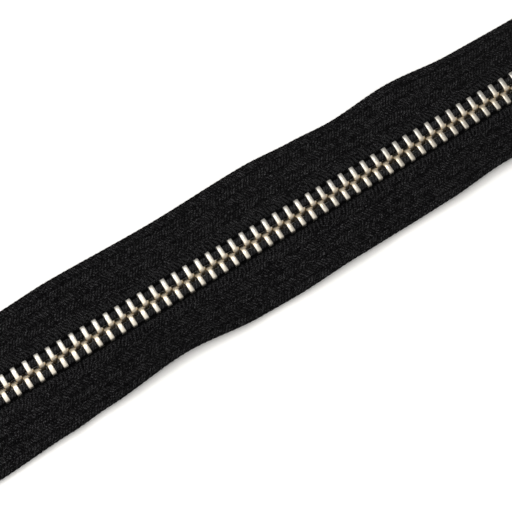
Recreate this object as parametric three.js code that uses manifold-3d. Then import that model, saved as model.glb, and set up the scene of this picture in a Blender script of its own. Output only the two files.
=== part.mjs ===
// A closed-end metal zipper, closed, with its slider at the top of the chain.
// Millimetres, +Z up. X runs along the chain, and +X is the top end. +Y is the left stringer's side.
// Each stringer is a woven tape whose inner edge holds a bead cord, and the cord carries the teeth.
// A run of teeth is one solid, because its length of cord holds its teeth together.
import * as THREE from 'three';
import { mergeVertices } from 'three/addons/utils/BufferGeometryUtils.js';
import Module from 'manifold-3d';

const wasm = await Module();
wasm.setup();

// ---------------------------------------------------------------- driving dimensions

const chainLength = 180;         // from the bottom stop to the top stops
const pitch = 2.54;              // ten teeth to the inch on each stringer
const tapeHalfWidth = 13.9;      // centre line to the tape's outer edge, closed
const tapeThickness = 0.5;       // beside the teeth
const sewingBandThickness = 0.6; // the outer part, which is sewn to the garment
const sewingBandWidth = 7;
const tapeTail = 16;             // tape that runs on past each end of the chain's stops

const toothThickness = 1.0;      // along the chain
const toothReach = 0.65;         // how far a head passes the centre line
const toothHeadHeight = 1.9;
const toothTipSlope = 0.18;      // fall of a head's top towards its tip
const toothLegHeight = 2.56;
const toothLegEnd = 2.75;        // centre line to the tips of the legs
const toothNeck = 0.62;          // where a head starts to widen into its legs
const toothTaper = 0.28;         // length of the sloped step between head and legs
const cordLine = 1.5;            // centre line to the middle of the bead cord
const cordRadius = 0.6;
const teethPerRun = 11;

const stopLength = 3.4;          // along the chain, top and bottom stops alike
const stopHeight = 2.9;
const stopWall = 0.5;

const sliderLength = 13;
const wallThickness = 0.95;      // the slider's side flanges
const plateThickness = 1.0;
const diamondHalfWidth = 1.0;    // at the slider's wide end
const lockWindowAt = -2.95;      // along the slider, from its middle
const lugLength = 1.2;
const lugWidth = 2.4;
const lugAt = 4.4;

const capWidth = 3.0;
const capThickness = 0.72;
const capLength = 12.0;
const capHeight = 3.35;          // above the top plate
const capCorner = 1.0;
const capInnerCorner = 0.6;

const pawlThickness = 0.36;
const pawlWidth = 1.4;
const pawlTipLength = 0.5;

const tabLength = 28;            // hinge line to tip
const tabThickness = 1.0;
const tabShoulder = 6.6;         // width across the arms
const tabTipWidth = 5.2;
const tabBarRadius = 0.6;
const tabBarHeight = 0.98;       // hinge line above the top plate
const tabArmWidth = 1.2;
const tabHoleLength = 6;
const tabHoleWidth = 2.2;
const tabHoleInset = 1.82;       // tip to the hole's near edge
const tabLoopSwing = 0.84;       // added to the loop, so that its end clears the cap as the tab turns

// ---------------------------------------------------------------- clearances

const running = 0.17;            // teeth in the slider's channel, above and below
const sideRunning = 0.27;        // leg tips to the slider's flanges
const diamondRunning = 0.1;      // heads to the diamond
const slotRunning = 0.18;        // tape in the slider's slot, above and below
const tapeInLegs = 0.08;         // tape between a tooth's legs, above and below
const edgeGap = 0.14;            // tape edge to the bead cord, and to the end of the legs' slot
const cordGap = 0.1;             // between the cord of one run and of the next
const turnedCordGap = 0.4;       // the same where the cord turns around the diamond
const cordInStop = 0.08;
const stopGap = 0.3;             // slider to a stop that it meets
const seatGap = 0.06;            // cap on plate, and pawl on lug
const windowGap = 0.3;
const barGap = 0.12;             // tab's bar to the pawl above it
const tabGap = 0.4;              // arms to the cap's sides and ends

// ---------------------------------------------------------------- derived sizes

const channelHalf = toothLegHeight / 2 + running;
const sliderHalfHeight = channelHalf + plateThickness;
const midZ = sliderHalfHeight;                       // the tapes' middle plane
const plateTop = 2 * sliderHalfHeight;
const spread = diamondHalfWidth + toothReach + diamondRunning;
const tapeEdge = cordLine + cordRadius + edgeGap;
const chainBottom = -chainLength / 2;
const chainTop = chainLength / 2;
const sliderWideEnd = chainTop - stopGap;
const sliderNarrowEnd = sliderWideEnd - sliderLength;
const sliderMiddle = (sliderWideEnd + sliderNarrowEnd) / 2;
const tapeBottomEnd = chainBottom - stopLength - tapeTail;
const tapeTopEnd = chainTop + stopLength + tapeTail;
const pawlUnder = tabBarHeight + tabBarRadius + barGap;   // above the top plate
const lugHeight = pawlUnder - seatGap;
const firstTooth = chainBottom + pitch / 2;
const tabTip = tabTipWidth / 2;                      // the tip is a half circle
const plateBite = plateThickness / 4;                // how far the diamond and the lugs run into a plate
const throughCut = 1;                                // how far a cutter runs on past what it cuts
const curveSteps = 8;
const diamondSearchSteps = 40;
const diamondSteps = 4;
const tabTipSteps = 6;
const tabBarSides = 8;

/** How far a row stands off its closed line at x: nothing below the slider, and spread above it. */
function offsetAt(x) {
  const t = THREE.MathUtils.clamp((x - sliderNarrowEnd) / sliderLength, 0, 1);
  return spread * t * t * (3 - 2 * t);
}

/** The row's slope at x, in radians. */
function slopeAt(x) {
  const t = THREE.MathUtils.clamp((x - sliderNarrowEnd) / sliderLength, 0, 1);
  return Math.atan((spread / sliderLength) * 6 * t * (1 - t));
}

/** Evenly spaced places along the slider, from its narrow end to its wide end. */
function placesAlongSlider(steps) {
  return Array.from({ length: steps + 1 }, (_, i) => sliderNarrowEnd + (i / steps) * sliderLength);
}

const sliderPlaces = placesAlongSlider(curveSteps);

// ---------------------------------------------------------------- materials

const nickel = { color: 0xc9c4b8, roughness: 0.28, metalness: 1 };
const darkNickel = { color: 0xb4afa6, roughness: 0.32, metalness: 1 };
const spring = { color: 0x8d8b88, roughness: 0.4, metalness: 1 };
const blackTape = { color: 0x17171a, roughness: 0.9, metalness: 0 };
const blackCord = { color: 0x101012, roughness: 0.85, metalness: 0 };

// ---------------------------------------------------------------- solids

/** A manifold solid from a closed three.js geometry. */
function solid(geometry) {
  const bare = geometry.clone();
  bare.deleteAttribute('normal');
  bare.deleteAttribute('uv');
  const merged = mergeVertices(bare.index ? bare.toNonIndexed() : bare, 1e-4);
  return new wasm.Manifold(new wasm.Mesh({
    numProp: 3,
    vertProperties: new Float32Array(merged.attributes.position.array),
    triVerts: new Uint32Array(merged.index.array),
  }));
}

/** A three.js geometry from a manifold solid. */
function geometryOf(body) {
  const mesh = body.getMesh();
  const geometry = new THREE.BufferGeometry();
  geometry.setAttribute('position', new THREE.BufferAttribute(mesh.vertProperties, 3));
  geometry.setIndex(new THREE.BufferAttribute(mesh.triVerts, 1));
  geometry.computeVertexNormals();
  return geometry;
}

function shapeOf(points) {
  return new THREE.Shape(points.map(([u, v]) => new THREE.Vector2(u, v)));
}

/** A [y, z] outline drawn out along X, from x0 to x1. */
function alongX(outline, x0, x1) {
  const geometry = new THREE.ExtrudeGeometry(shapeOf(outline), { depth: x1 - x0, bevelEnabled: false });
  const [x, y, z] = [new THREE.Vector3(1, 0, 0), new THREE.Vector3(0, 1, 0), new THREE.Vector3(0, 0, 1)];
  geometry.applyMatrix4(new THREE.Matrix4().makeBasis(y, z, x));
  return geometry.translate(x0, 0, 0);
}

/** An [x, z] outline drawn out along Y, centred on y = 0. */
function alongY(outline, width) {
  const geometry = new THREE.ExtrudeGeometry(shapeOf(outline), { depth: width, bevelEnabled: false });
  return geometry.rotateX(Math.PI / 2).translate(0, width / 2, 0);
}

/** An [x, y] outline drawn up along Z, from z0 to z1. */
function alongZ(outline, z0, z1) {
  const geometry = new THREE.ExtrudeGeometry(shapeOf(outline), { depth: z1 - z0, bevelEnabled: false });
  return geometry.translate(0, 0, z0);
}

function box(x0, x1, y0, y1, z0, z1) {
  const geometry = new THREE.BoxGeometry(x1 - x0, y1 - y0, z1 - z0);
  return geometry.translate((x0 + x1) / 2, (y0 + y1) / 2, (z0 + z1) / 2);
}

/** Cord from x0 to x1 on its line at the given side, with four flats: one faces the tape. */
function cord(side, radius, x0, x1) {
  const corner = radius * Math.SQRT2;
  const geometry = new THREE.CylinderGeometry(corner, corner, x1 - x0, 4);
  geometry.rotateY(Math.PI / 4).rotateZ(Math.PI / 2);
  return geometry.translate((x0 + x1) / 2, side * cordLine, 0);
}

function piece(name, geometry, finish) {
  const mesh = new THREE.Mesh(geometry, new THREE.MeshStandardMaterial(finish));
  mesh.name = name;
  return mesh;
}

/** Both edges of an outline that is mirrored in y = 0: out along one side and back along the other. */
function mirrored(points) {
  return [...points, ...[...points].reverse().map(([x, y]) => [x, -y])];
}

// ---------------------------------------------------------------- stringers

/** One tooth's section across the chain: a head, a sloped step, and two legs around the tape. */
function toothSection(side) {
  const headHalf = toothHeadHeight / 2;
  const legHalf = toothLegHeight / 2;
  const slotHalf = tapeThickness / 2 + tapeInLegs;
  const slotEnd = tapeEdge - edgeGap;
  const upper = [
    [-toothReach, headHalf - toothTipSlope], [toothNeck, headHalf],
    [toothNeck + toothTaper, legHalf], [toothLegEnd, legHalf], [toothLegEnd, slotHalf], [slotEnd, slotHalf],
  ];
  return mirrored(upper).map(([y, z]) => [side * y, z]);
}

/** A run of teeth joined by its length of cord. x = 0 is the first tooth, z = 0 the tape's middle plane. */
function toothRun(side, count, gap) {
  let run = solid(cord(side, cordRadius, (gap - pitch) / 2, (count - 0.5) * pitch - gap / 2));
  for (let i = 0; i < count; i += 1) {
    const x = i * pitch;
    run = run.add(solid(alongX(toothSection(side), x - toothThickness / 2, x + toothThickness / 2)));
  }
  return geometryOf(run);
}

/** The x of a side's teeth, from the bottom up: the left row stands half a pitch above the right row. */
function toothPlaces(side) {
  const start = firstTooth + (side > 0 ? pitch / 2 : 0);
  const count = Math.floor((chainTop - toothThickness / 2 - start) / pitch) + 1;
  return Array.from({ length: count }, (_, i) => start + i * pitch);
}

/** A tape: a thin strip beside the teeth, and a thicker sewing band. Both turn aside at the slider. */
function tape(side) {
  const places = [tapeBottomEnd, ...sliderPlaces, tapeTopEnd];
  const strip = (from, to, thickness) => {
    const inner = places.map((x) => [x, side * (from + offsetAt(x))]);
    const outer = places.map((x) => [x, side * (to + offsetAt(x))]).reverse();
    return solid(alongZ([...inner, ...outer], -thickness / 2, thickness / 2));
  };
  const bandStart = tapeHalfWidth - sewingBandWidth;
  const band = strip(bandStart, tapeHalfWidth, sewingBandThickness);
  return geometryOf(band.add(strip(tapeEdge, bandStart + sewingBandWidth / 2, tapeThickness)));
}

/** A stop's block less its cord and the slot that the tape leaves through. */
function withoutCord(block, side, x0, x1) {
  const slotHalf = tapeThickness / 2 + tapeInLegs;
  const slotEnds = [side * cordLine, side * (tapeEdge + stopHeight)].sort((a, b) => a - b);
  const from = x0 - throughCut;
  const to = x1 + throughCut;
  const slot = box(from, to, ...slotEnds, -slotHalf, slotHalf);
  return block.subtract(solid(cord(side, cordRadius + cordInStop, from, to))).subtract(solid(slot));
}

/** Everything that one stringer carries, in a group at the tapes' middle plane. */
function stringer(side, word) {
  const group = new THREE.Group();
  group.add(piece(`${word}_tape`, tape(side), blackTape));

  const places = toothPlaces(side);
  const straight = places.filter((x) => x + pitch / 2 <= sliderNarrowEnd);
  for (let i = 0, n = 1; i < straight.length; i += teethPerRun, n += 1) {
    const count = Math.min(teethPerRun, straight.length - i);
    const run = piece(`${word}_teeth_run_${n}`, toothRun(side, count, cordGap), nickel);
    run.position.x = straight[i];
    group.add(run);
  }

  places.slice(straight.length).forEach((x, i) => {
    const tooth = piece(`${word}_slider_tooth_${i + 1}`, toothRun(side, 1, turnedCordGap), nickel);
    tooth.position.set(x, side * offsetAt(x), 0);
    tooth.rotation.z = side * slopeAt(x);
    group.add(tooth);
  });

  const cordBottom = cord(side, cordRadius, tapeBottomEnd, places[0] - pitch / 2 - cordGap);
  group.add(piece(`${word}_cord_bottom_end`, cordBottom, blackCord));
  const lastTooth = places[places.length - 1];
  const cordTop = cord(side, cordRadius, lastTooth + pitch / 2 + turnedCordGap, tapeTopEnd);
  group.add(piece(`${word}_cord_top_end`, cordTop.translate(0, side * spread, 0), blackCord));

  const stopEnd = chainTop + stopLength;
  const stopEdges = [side * (cordLine - cordRadius - stopWall), side * toothLegEnd].sort((a, b) => a - b);
  const block = solid(box(chainTop, stopEnd, ...stopEdges, -stopHeight / 2, stopHeight / 2));
  const stop = geometryOf(withoutCord(block, side, chainTop, stopEnd));
  group.add(piece(`${word}_top_stop`, stop.translate(0, side * spread, 0), nickel));
  return group;
}

/** The bottom stop: one clip over both cords, under the last pair of teeth. */
function bottomStop() {
  const start = chainBottom - stopLength;
  const half = stopHeight / 2;
  let clip = solid(box(start, chainBottom, -toothLegEnd, toothLegEnd, -half, half));
  for (const side of [1, -1]) {
    clip = withoutCord(clip, side, start, chainBottom);
  }
  return geometryOf(clip);
}

// ---------------------------------------------------------------- slider

/** A plan outline that follows the rows through the slider at a distance, run on past both ends. */
function followRows(distance, overrun) {
  const edge = sliderPlaces.map((x) => [x, distance + offsetAt(x)]);
  if (overrun > 0) {
    edge.unshift([sliderNarrowEnd - overrun, distance]);
    edge.push([sliderWideEnd + overrun, distance + spread]);
  }
  return mirrored(edge);
}

/** The diamond between the plates: it keeps the heads' clearance from where they part to the wide end. */
function diamondOutline() {
  const halfWidth = (x) => offsetAt(x) - toothReach - diamondRunning;
  const nose = placesAlongSlider(diamondSearchSteps).find((x) => halfWidth(x) > 0);
  const step = (sliderWideEnd - nose) / diamondSteps;
  const edge = Array.from({ length: diamondSteps }, (_, i) => nose + (i + 1) * step);
  const sides = edge.map((x) => [x, halfWidth(x)]);
  return [[nose, 0], ...sides.map(([x, y]) => [x, -y]), ...sides.reverse()];
}

/** Bottom plate, top plate with its lugs and lock window, side flanges, and the diamond that joins them. */
function sliderBody() {
  const distance = toothLegEnd + sideRunning;
  const slotHalf = tapeThickness / 2 + slotRunning;
  const slotSide = distance + spread + 2 * wallThickness;
  let body = solid(alongZ(followRows(distance + wallThickness, 0), -sliderHalfHeight, sliderHalfHeight));
  body = body.subtract(solid(alongZ(followRows(distance, throughCut), -channelHalf, channelHalf)));
  const from = sliderNarrowEnd - throughCut;
  const to = sliderWideEnd + throughCut;
  body = body.subtract(solid(box(from, to, -slotSide, slotSide, -slotHalf, slotHalf)));
  const diamondHalf = channelHalf + plateBite;
  body = body.add(solid(alongZ(diamondOutline(), -diamondHalf, diamondHalf)));
  for (const end of [-1, 1]) {
    const x = sliderMiddle + end * lugAt - lugLength / 2;
    const z = sliderHalfHeight;
    const lug = box(x, x + lugLength, -lugWidth / 2, lugWidth / 2, z - plateBite, z + lugHeight);
    body = body.add(solid(lug));
  }
  const windowX = sliderMiddle + lockWindowAt;
  const halfX = pawlTipLength / 2 + windowGap;
  const halfY = pawlWidth / 2 + windowGap;
  const floor = channelHalf - throughCut / 2;
  const roof = sliderHalfHeight + throughCut / 2;
  const window = box(windowX - halfX, windowX + halfX, -halfY, halfY, floor, roof);
  return geometryOf(body.subtract(solid(window)));
}

/** The cap: a bridge over the lugs, the pawl and the tab's bar. z = 0 is the top plate. */
function sliderCap() {
  const outer = capLength / 2;
  const inner = outer - capThickness;
  const roof = capHeight - capThickness;
  const innerCorner = capInnerCorner;
  const outline = [
    [-outer, seatGap], [-inner, seatGap], [-inner, roof - innerCorner], [-inner + innerCorner, roof],
    [inner - innerCorner, roof], [inner, roof - innerCorner], [inner, seatGap], [outer, seatGap],
    [outer, capHeight - capCorner], [outer - capCorner, capHeight],
    [-outer + capCorner, capHeight], [-outer, capHeight - capCorner],
  ];
  return alongY(outline, capWidth);
}

/** The locking pawl: a leaf that lies on the upper lug, crosses the tab's bar and dips into its window. */
function lockingPawl() {
  const under = pawlUnder;
  const top = under + pawlThickness;
  const root = lugAt + lugLength / 2;
  const tip = lockWindowAt;
  const tipBottom = running - plateThickness;
  const outline = [
    [root, under], [root, top], [tip - pawlTipLength / 2, top], [tip - pawlTipLength / 2, tipBottom],
    [tip + pawlTipLength / 2, tipBottom], [tip + pawlTipLength / 2, under],
  ];
  return alongY(outline, pawlWidth);
}

/** The pull tab, drawn flat from its hinge bar at x = 0 towards -X. */
function pullTab() {
  const shoulder = tabShoulder / 2;
  const round = Array.from({ length: tabTipSteps + 1 }, (_, i) => {
    const angle = Math.PI / 2 + (i / tabTipSteps) * Math.PI;
    return [-tabLength + tabTip + tabTip * Math.cos(angle), tabTip * Math.sin(angle)];
  });
  const blade = [[tabBarRadius, -shoulder], [tabBarRadius, shoulder], [-tabShoulder, shoulder], ...round,
    [-tabShoulder, -shoulder]];
  const half = tabThickness / 2;
  let tab = solid(alongZ(blade, -half, half));
  const loopEnd = capLength / 2 + tabLoopSwing + tabGap;
  const loopHalf = shoulder - tabArmWidth;
  const loop = box(-loopEnd, tabBarRadius + throughCut, -loopHalf, loopHalf, -tabThickness, tabThickness);
  const bar = new THREE.CylinderGeometry(tabBarRadius, tabBarRadius, tabShoulder, tabBarSides);
  tab = tab.subtract(solid(loop)).add(solid(bar));
  const holeX = -tabLength + tabHoleInset;
  const holeHalf = tabHoleWidth / 2;
  const hole = box(holeX, holeX + tabHoleLength, -holeHalf, holeHalf, -tabThickness, tabThickness);
  return geometryOf(tab.subtract(solid(hole)));
}

/** The tab's rest angle: its tip lies down on the teeth. */
function tabDrop() {
  const fall = plateTop + tabBarHeight - midZ - toothLegHeight / 2 - tabThickness / 2 - seatGap;
  return Math.asin(fall / tabLength);
}

// ---------------------------------------------------------------- assembly

const zipper = new THREE.Group();

const chain = new THREE.Group();
chain.position.z = midZ;
chain.add(stringer(1, 'left'));
chain.add(stringer(-1, 'right'));
chain.add(piece('bottom_stop', bottomStop(), nickel));
chain.add(piece('slider_body', sliderBody(), darkNickel));
zipper.add(chain);

const slider = new THREE.Group();
slider.position.set(sliderMiddle, 0, plateTop);
slider.add(piece('slider_cap', sliderCap(), darkNickel));
slider.add(piece('locking_pawl', lockingPawl(), spring));
const tab = piece('pull_tab', pullTab(), darkNickel);
tab.position.z = tabBarHeight;
tab.rotation.y = -tabDrop();
slider.add(tab);
zipper.add(slider);

export default zipper;
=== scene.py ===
# %% [markdown]
# # A closed-end metal zipper
# A zipper is two woven tapes that face each other along a row of interlocking metal teeth.
# Each tape's inner edge is a thick bead cord, and every tooth is a stamped piece of metal whose two
# legs are clamped around that cord. A slider forces the rows together or parts them. This lesson
# builds the cloth, the teeth, the stops and the slider around a frame that holds the true sizes.

# %% Load the frame
import bpy
import bmesh
import math
import numpy as np
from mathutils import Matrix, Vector


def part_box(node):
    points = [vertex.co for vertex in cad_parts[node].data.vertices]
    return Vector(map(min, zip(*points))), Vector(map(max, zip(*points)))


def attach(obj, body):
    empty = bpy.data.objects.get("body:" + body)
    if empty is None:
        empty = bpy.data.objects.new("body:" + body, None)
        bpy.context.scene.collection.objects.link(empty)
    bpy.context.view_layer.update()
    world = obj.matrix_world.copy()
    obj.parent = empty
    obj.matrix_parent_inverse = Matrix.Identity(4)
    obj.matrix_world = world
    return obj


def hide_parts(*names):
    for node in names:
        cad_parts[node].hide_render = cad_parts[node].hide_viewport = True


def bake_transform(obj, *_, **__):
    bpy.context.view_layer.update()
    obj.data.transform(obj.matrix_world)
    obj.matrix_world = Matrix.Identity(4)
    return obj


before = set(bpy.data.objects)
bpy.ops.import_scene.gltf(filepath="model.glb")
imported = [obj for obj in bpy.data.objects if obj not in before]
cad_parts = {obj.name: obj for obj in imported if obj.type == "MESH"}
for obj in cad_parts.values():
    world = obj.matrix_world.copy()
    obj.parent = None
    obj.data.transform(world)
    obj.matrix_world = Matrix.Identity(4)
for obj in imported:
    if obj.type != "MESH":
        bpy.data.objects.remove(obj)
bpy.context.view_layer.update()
MM = 0.001

# %% [markdown]
# ## Sizes that come from the frame
# The frame's boxes say where the chain starts and ends, where the slider stands and how far the rows
# are spread above it. Everything that follows is placed from these values, so that a longer zipper or
# a wider tape needs no edit here. Only the tooth's own shape is written out, in millimetres.


# %% Chain, slider and tape sizes
def box(node):
    low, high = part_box(node)
    return np.array(low), np.array(high)


SIDES = {"left": 1, "right": -1}             # the side of the chain's line that each row stands on
PITCH = 2.54 * MM                            # between the teeth of one row
CORD_Y = 1.5 * MM                            # from the chain's line to the middle of the cord
CHAIN_BOTTOM = box("bottom_stop")[1][0]
CHAIN_TOP = box("left_top_stop")[0][0]
SLIDER_LOW, SLIDER_HIGH = (corner[0] for corner in box("slider_body"))
TAPE_LOW, TAPE_HIGH = (corner[0] for corner in box("left_tape"))
MID_Z = (box("left_tape")[0][2] + box("left_tape")[1][2]) / 2
TEETH_LOW, TEETH_HIGH = box("left_teeth_run_1")
LEG_END = TEETH_HIGH[1]
LEG_HALF = (TEETH_HIGH[2] - TEETH_LOW[2]) / 2
HEAD_REACH = -TEETH_LOW[1]
SPREAD = box("left_top_stop")[1][1] - LEG_END
TAPE_OUT = box("left_tape")[1][1] - SPREAD
print(f"chain {(CHAIN_TOP - CHAIN_BOTTOM) / MM:.0f} mm, tape half width {TAPE_OUT / MM:.1f} mm")


# %% How far the rows stand apart
def smoothstep(share):
    """A share from 0 to 1 that starts and stops gently."""
    return share * share * (3 - 2 * share)


def offset_at(x):
    """How far a row stands off its closed line at x."""
    share = (np.asarray(x, float) - SLIDER_LOW) / (SLIDER_HIGH - SLIDER_LOW)
    return SPREAD * smoothstep(np.clip(share, 0, 1))


for end in (SLIDER_LOW, SLIDER_HIGH):
    print(f"at x = {end / MM:.1f} mm each row stands {offset_at(end) / MM:.2f} mm aside")

# %% [markdown]
# ## Camera
# A long lens far away keeps the two edges of the tape nearly parallel, as they are on a zipper that is
# seen whole. The camera is aimed by an azimuth and an elevation, which are easier to tune than three
# rotation angles.

# %% Camera
AIM = Vector((-18.6 * MM, -2.7 * MM, MID_Z))
VIEW_AZIMUTH, VIEW_ELEVATION = -32.4, 70     # degrees
VIEW_DISTANCE = 380 * MM
LENS, SENSOR = 138.7, 36                     # mm
NEAREST = 0.01                               # metres


def direction(azimuth, elevation):
    """A unit vector to a place in the sky. Azimuth 0 is over the -Y side."""
    az, el = math.radians(azimuth), math.radians(elevation)
    return Vector((math.sin(az) * math.cos(el), -math.cos(az) * math.cos(el), math.sin(el)))


def stand_at(name, data, away, distance):
    """Puts a camera or a lamp at a distance from the aim, looking back at it."""
    holder = bpy.data.objects.new(name, data)
    holder.location = AIM + distance * away
    holder.rotation_euler = away.to_track_quat("Z", "Y").to_euler()
    bpy.context.scene.collection.objects.link(holder)
    return holder


camera_data = bpy.data.cameras.new("camera")
camera_data.lens = LENS
camera_data.sensor_width = SENSOR
camera_data.clip_start = NEAREST
camera = stand_at("camera", camera_data, direction(VIEW_AZIMUTH, VIEW_ELEVATION), VIEW_DISTANCE)
bpy.context.scene.camera = camera
bpy.context.scene.view_settings.view_transform = "Standard"
print("camera at", [round(value, 3) for value in camera.location])

# %% [markdown]
# ## Light
# Small bright metal is mostly a mirror, so the lamps are there to be reflected. One broad panel hangs
# overhead and a little to the -X side: the flat tops of the teeth mirror it, and the teeth at the far
# +X end begin to lose its edge and turn greyer. A smaller panel stands beyond the chain, for the
# rounded ends of the teeth, and a weak one on the left draws the slider's side. A plain warm grey
# surround gives the sloping heads something darker to show.

# %% Lamps and surround
PANELS = [                       # name, azimuth, elevation, metres away, side in metres, watts, tint
    ("top_panel", -82, 74, 0.9, 1.05, 6.0, (1.0, 0.99, 0.965)),
    ("back_panel", 185, 58, 0.9, 0.45, 2.2, (1.0, 0.99, 0.97)),
    ("left_panel", -100, 30, 0.9, 0.4, 0.8, (1.0, 0.97, 0.92)),
]
SURROUND = (0.9, 0.88, 0.85, 1)
SURROUND_STRENGTH = 0.6


def lamp(name, azimuth, elevation, distance, size, power, tint):
    """A square panel that looks at the middle of the view."""
    data = bpy.data.lights.new(name, "AREA")
    data.shape = "SQUARE"
    data.size = size
    data.energy = power
    data.color = tint
    return stand_at(name, data, direction(azimuth, elevation), distance)


lamps = [lamp(*panel) for panel in PANELS]
world = bpy.data.worlds.new("surround")
world.use_nodes = True
background = world.node_tree.nodes["Background"]
background.inputs["Color"].default_value = SURROUND
background.inputs["Strength"].default_value = SURROUND_STRENGTH
bpy.context.scene.world = world
print("lamps:", [holder.name for holder in lamps])

# %% [markdown]
# ## Shader maths written as sums
# A material is a graph of small nodes. Placing them one by one hides the idea, so a wire here is a
# Python value: adding or multiplying two wires adds the Math node that does it. A material is then
# read as a few formulas over millimetres.

# %% Wires
OBJECT_OUTPUT = 3                # of a Texture Coordinate node
FACTOR_OUTPUT = 2                # of an Attribute node
COLOUR_OUTPUT = 2                # of a Mix node
MIX_FACTOR, MIX_FIRST, MIX_SECOND = 0, 6, 7


class Wire:
    """One value that varies over a surface. Its operators add Math nodes."""

    def __init__(self, finish, socket):
        self.finish = finish
        self.socket = socket

    def combined(self, operation, *others):
        """This wire first, then the others, through one Math node."""
        values = dict(enumerate([self, *others]))
        return self.finish.node("ShaderNodeMath", {"operation": operation}, values)[0]

    def turned(self, operation, other):
        """The other value first, then this wire, for the reflected operators."""
        return self.finish.node("ShaderNodeMath", {"operation": operation}, {0: other, 1: self})[0]

    def __add__(self, other):
        return self.combined("ADD", other)

    def __sub__(self, other):
        return self.combined("SUBTRACT", other)

    def __rsub__(self, other):
        return self.turned("SUBTRACT", other)

    def __mul__(self, other):
        return self.combined("MULTIPLY", other)

    def __truediv__(self, other):
        return self.combined("DIVIDE", other)

    __radd__ = __add__
    __rmul__ = __mul__

    def floor(self):
        return self.combined("FLOOR")

    def fract(self):
        return self.combined("FRACT")

    def size(self):
        return self.combined("ABSOLUTE")

    def above(self, edge):
        return self.combined("GREATER_THAN", edge)

    def clipped(self):
        return self.combined("MINIMUM", 1.0).combined("MAXIMUM", 0.0)

    def zigzag(self, width):
        """Rises and falls between 0 and width."""
        return self.combined("PINGPONG", width)

    def tent(self):
        """0 in the middle of each whole step of the wire, and 1 at both of its ends."""
        return (self.fract() - 0.5).size() * 2


print("a wire has", len([name for name in vars(Wire) if callable(getattr(Wire, name))]), "operations")


# %% Finishes
class Finish:
    """A material, and the one way in which its nodes are added."""

    def __init__(self, name):
        self.material = bpy.data.materials.new(name)
        self.material.use_nodes = True
        self.tree = self.material.node_tree
        self.surface = self.tree.nodes["Principled BSDF"]

    def node(self, kind, settings=None, sockets=None):
        """Adds a node: its settings first, then each socket's value or link. Returns its outputs."""
        made = self.tree.nodes.new(kind)
        for key, value in (settings or {}).items():
            setattr(made, key, value)
        for key, value in (sockets or {}).items():
            self.feed(made.inputs[key], value)
        return [Wire(self, output) for output in made.outputs]

    def feed(self, socket, value):
        if isinstance(value, Wire):
            self.tree.links.new(value.socket, socket)
        else:
            socket.default_value = value

    def set(self, **values):
        """Sets or links the surface's sockets, which are named with _ for each space."""
        for key, value in values.items():
            self.feed(self.surface.inputs[key.replace("_", " ")], value)

    def place(self):
        """Object coordinates, in millimetres."""
        point = self.node("ShaderNodeTexCoord")[OBJECT_OUTPUT]
        return self.node("ShaderNodeVectorMath", {"operation": "SCALE"}, {0: point, "Scale": 1 / MM})[0]

    def cloth_map(self):
        """The piece's own map, as a vector and as its u and v."""
        cloth = self.node("ShaderNodeUVMap", {"uv_map": "cloth"})[0]
        u, v, _ = self.node("ShaderNodeSeparateXYZ", {}, {0: cloth})
        return cloth, u, v

    def attribute(self, name):
        return self.node("ShaderNodeAttribute", {"attribute_name": name})[FACTOR_OUTPUT]

    def mix(self, factor, first, second):
        """A colour between two."""
        sockets = {MIX_FACTOR: factor, MIX_FIRST: first, MIX_SECOND: second}
        return self.node("ShaderNodeMix", {"data_type": "RGBA"}, sockets)[COLOUR_OUTPUT]

    def noise(self, vector, scale, detail=3.0, rough=0.5):
        sockets = {"Vector": vector, "Scale": scale, "Detail": detail, "Roughness": rough}
        return self.node("ShaderNodeTexNoise", {}, sockets)[0]

    def bump(self, height, depth, strength=1.0):
        """Turns a height from 0 to 1 into a surface that rises by depth metres."""
        sockets = {"Height": height, "Distance": depth, "Strength": strength}
        self.set(Normal=self.node("ShaderNodeBump", {}, sockets)[0])


def colour(*rgb):
    return (*rgb, 1.0)


print("a finish has", len([name for name in vars(Finish) if callable(getattr(Finish, name))]), "methods")

# %% [markdown]
# ## Plated metal
# The slider, the tab and the stops are castings and clips with a nickel plate: bright, but not mirrors,
# with fine handling scratches and duller patches. A painted-on highlight would slide as the view
# turns, so the gloss is left to the shader, and only the colour and the roughness vary.

# %% Nickel and spring steel
SCRATCH_STRETCH = (1.2, 9.0, 1.2)            # scratches run one way more than the other
SCRATCH_TURN = (0, 0, 0.5)
SCRATCH_STRENGTH = 0.15
SCRATCH_SCALE, PATCH_SCALE = 2.6, 0.9        # features per mm
PATCH_GAIN, PATCH_CUT = 1.6, 0.3
WEAR_ROUGHENS, GRAIN_ROUGHENS = 0.1, 0.08


def plated(name, bright, worn, base_roughness, scratch_depth):
    finish = Finish(name)
    point = finish.place()
    stretched = finish.node("ShaderNodeMapping", {}, {
        "Vector": point, "Scale": SCRATCH_STRETCH, "Rotation": SCRATCH_TURN})[0]
    grain = finish.noise(stretched, SCRATCH_SCALE, 4.0, 0.65)
    wear = (finish.noise(point, PATCH_SCALE, 2.0) * PATCH_GAIN - PATCH_CUT).clipped()
    finish.set(
        Base_Color=finish.mix(wear, colour(*bright), colour(*worn)),
        Roughness=base_roughness + wear * WEAR_ROUGHENS + grain * GRAIN_ROUGHENS,
        Metallic=1.0,
    )
    finish.bump(grain, scratch_depth, SCRATCH_STRENGTH)
    return finish


SLIDER_METAL = plated("slider_nickel", (0.6, 0.585, 0.55), (0.46, 0.43, 0.38), 0.2, 0.015 * MM)
STOP_METAL = plated("stop_nickel", (0.54, 0.525, 0.49), (0.44, 0.4, 0.34), 0.24, 0.02 * MM)
SPRING_METAL = plated("spring_steel", (0.5, 0.5, 0.49), (0.38, 0.37, 0.36), 0.32, 0.01 * MM)
print("metals:", [finish.material.name for finish in (SLIDER_METAL, STOP_METAL, SPRING_METAL)])

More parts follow.
